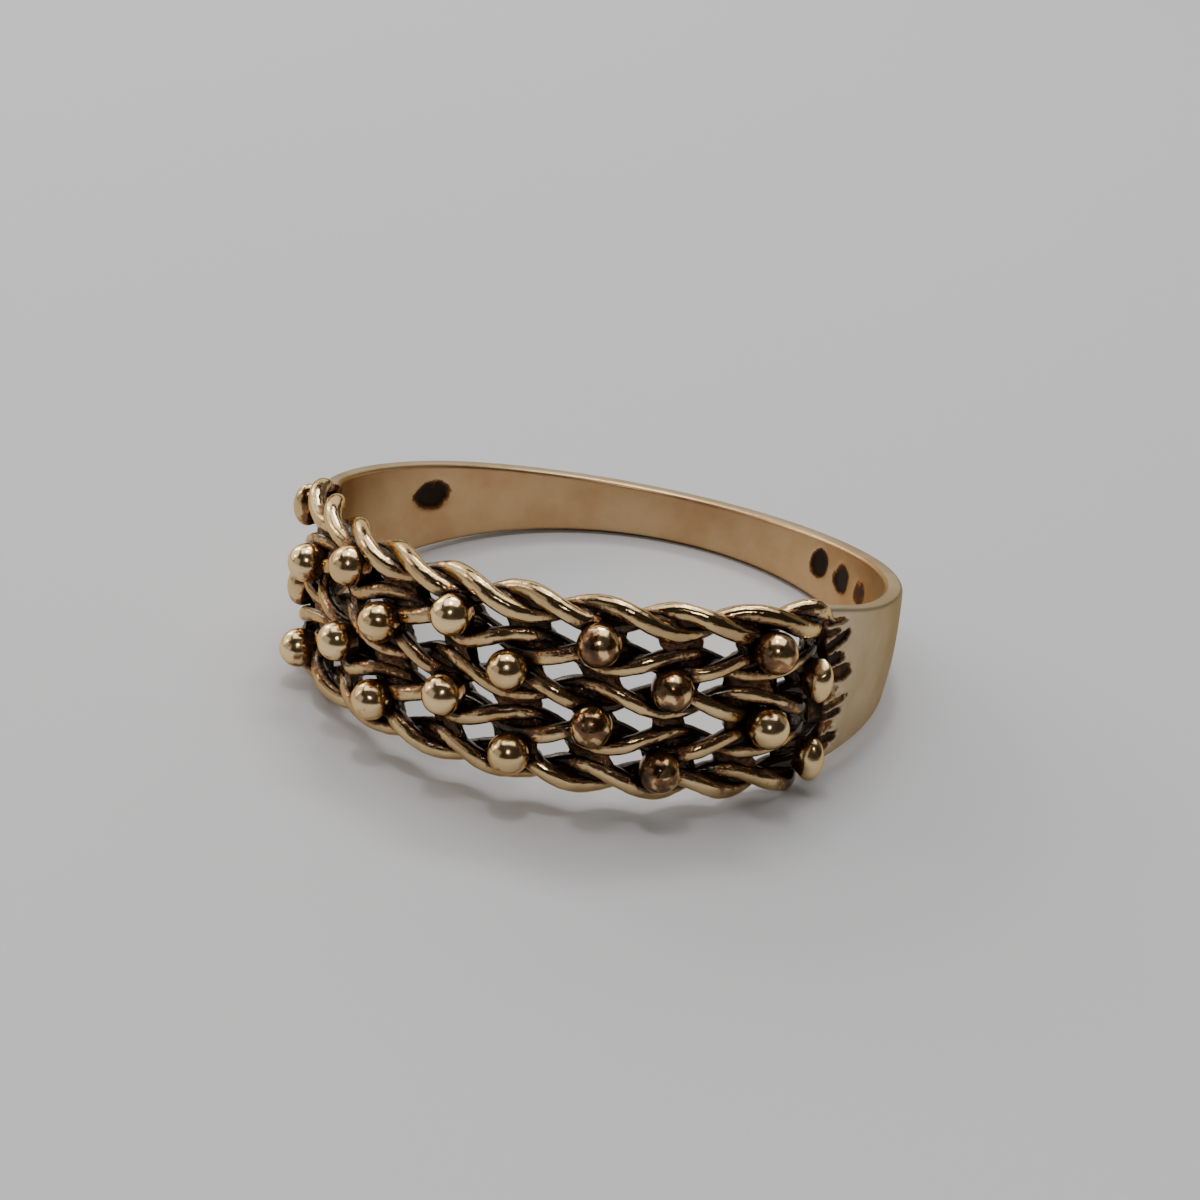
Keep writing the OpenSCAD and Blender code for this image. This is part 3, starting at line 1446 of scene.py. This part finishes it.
@dataclass(frozen=True)
class Lamp:
    """A soft rectangular light that faces the ring, with its sizes in metres and power in watts."""

    name: str
    bearing: float
    elevation: float
    distance: float
    width: float
    height: float
    power: float
    color: Triple = (1.0, 1.0, 1.0)

    def build(self) -> None:
        """Adds the light."""
        data = bpy.data.lights.new(self.name, "AREA")
        data.shape = "RECTANGLE"
        data.size = self.width
        data.size_y = self.height
        data.energy = self.power
        data.color = self.color
        rise = math.radians(self.elevation)
        toward = outward(self.bearing) * math.cos(rise) + Vector((0, 0, math.sin(rise)))
        light = show(self.name, data)
        light.location = toward * self.distance
        light.rotation_mode = "QUATERNION"
        light.rotation_quaternion = toward.to_track_quat("Z", "Y")


@dataclass
class Studio:
    """Floor, lights and camera.

    The camera's place and aim are millimetres in the frame of the lying ring.
    """

    place: Triple = (19.5465, -53.9212, 31.8692)
    aim: Triple = (-0.0830, 0.3338, 1.9346)
    roll: float = 5.089
    lens: float = 56.85
    sensor: float = 36.0
    nearest: float = 0.002
    floor_size: float = 0.6
    floor_rough: float = 0.7
    room: tuple[float, float, float, float] = (0.036, 0.031, 0.027, 1.0)
    # Bearing, elevation, distance, width, height and power
    lamps: tuple[Lamp, ...] = (
        Lamp("ceiling", -160, 78, 0.50, 0.62, 0.34, 1.36),
        Lamp("backdrop", -150, 25, 0.50, 0.60, 0.26, 0.52),
        Lamp("window", -98, 26, 0.45, 0.54, 0.36, 0.73),
        Lamp("curtain", -42, 12, 0.45, 0.30, 0.32, 0.12),
        Lamp("wall", 145, 22, 0.50, 0.42, 0.36, 0.08),
        Lamp("tube", -168, 59, 0.44, 0.16, 0.06, 0.46),
        Lamp("bulb", -120, 84, 0.42, 0.05, 0.05, 0.26),
        Lamp("pane", -112, 30, 0.42, 0.05, 0.16, 0.20),
        Lamp("ember", -73, 26, 0.40, 0.03, 0.03, 0.10, (1.0, 0.55, 0.28)),
        Lamp("glint", 20, 42, 0.45, 0.045, 0.035, 0.22, (1.0, 0.97, 0.92)),
    )

    def camera(self) -> None:
        """Sets the camera at the photo's place."""
        data = bpy.data.cameras.new("camera")
        data.lens = self.lens
        data.sensor_width = self.sensor
        data.clip_start = self.nearest
        camera = show("camera", data)
        place = Vector(self.place) * METRES
        view = (Vector(self.aim) * METRES - place).to_track_quat("-Z", "Y")
        roll = Matrix.Rotation(math.radians(self.roll), 4, "Z")
        camera.matrix_world = Matrix.Translation(place) @ view.to_matrix().to_4x4() @ roll
        bpy.context.scene.camera = camera

    def floor(self) -> None:
        """Lays a plain pale floor."""
        mesh = bmesh.new()
        bmesh.ops.create_grid(mesh, x_segments=1, y_segments=1, size=self.floor_size)
        floor = show("floor", keep("floor", mesh))
        material = bpy.data.materials.new("floor")
        material.use_nodes = True
        shader = material.node_tree.nodes["Principled BSDF"]
        shader.inputs["Base Color"].default_value = Tone.FLOOR.value
        shader.inputs["Roughness"].default_value = self.floor_rough
        floor.data.materials.append(material)

    def build(self) -> None:
        """Makes the whole setting."""
        self.camera()
        self.floor()
        for lamp in self.lamps:
            lamp.build()
        world = bpy.data.worlds.new("room")
        world.use_nodes = True
        world.node_tree.nodes["Background"].inputs["Color"].default_value = self.room
        bpy.context.scene.world = world


def add_piece(name: str, mesh: Mesh, *materials: bpy.types.Material) -> None:
    """Turns a finished mesh into a piece of the ring.

    Args:
        name: the piece's name.
        mesh: the shape in upright millimetres, freed here.
        materials: its finish, and a second one for the faces that look towards the ring's axis.
    """
    if len(materials) > 1:
        for face in mesh.faces:
            middle = face.calc_center_median()
            inner = math.hypot(middle.x, middle.y) < LAYOUT.finger_r + INSIDE_DEPTH
            face.material_index = 1 if inner and face.normal.dot(middle) < 0 else 0
    bmesh.ops.transform(mesh, matrix=Placing().matrix(), verts=mesh.verts)
    LOG.info("%s: %d vertices, %d faces", name, len(mesh.verts), len(mesh.faces))
    data = keep(name, mesh)
    for material in materials:
        data.materials.append(material)
    data.shade_smooth()
    piece = show(name, data)
    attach(piece, BODY)
    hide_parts(NODE)


def main() -> None:
    """Builds the ring, its finishes and the studio."""
    logging.basicConfig(level=logging.INFO, format="%(name)s: %(message)s")
    patina, wear = Patina().build(), Wear().build()
    golds = {finish: finish.value.build(patina, wear) for finish in Finish}

    parts = [("band", Band().build(), (Finish.BAND, Finish.INSIDE))]
    for rope in range(LAYOUT.ropes):
        for strand in (0, 1):
            parts.append((f"rope_{rope + 1}_wire_{strand + 1}", Wire(rope, strand).build(), (Finish.WIRE,)))
        parts.append((f"rope_{rope + 1}_groove", Groove(rope).build(), (Finish.SOLDER,)))
    for line in range(LAYOUT.ropes - 1):
        parts.append((f"solder_{line + 1}", Solder(line).build(), (Finish.SOLDER,)))
        parts.append((f"beads_{line + 1}", Beads(line).build(), (Finish.BEAD,)))
    recesses = Recesses([mesh for _, mesh, _ in parts])
    for name, mesh, finishes in parts:
        recesses.mark(mesh)
        add_piece(name, mesh, *(golds[finish] for finish in finishes))
    Studio().build()


if __name__ == "__main__":
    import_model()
    main()
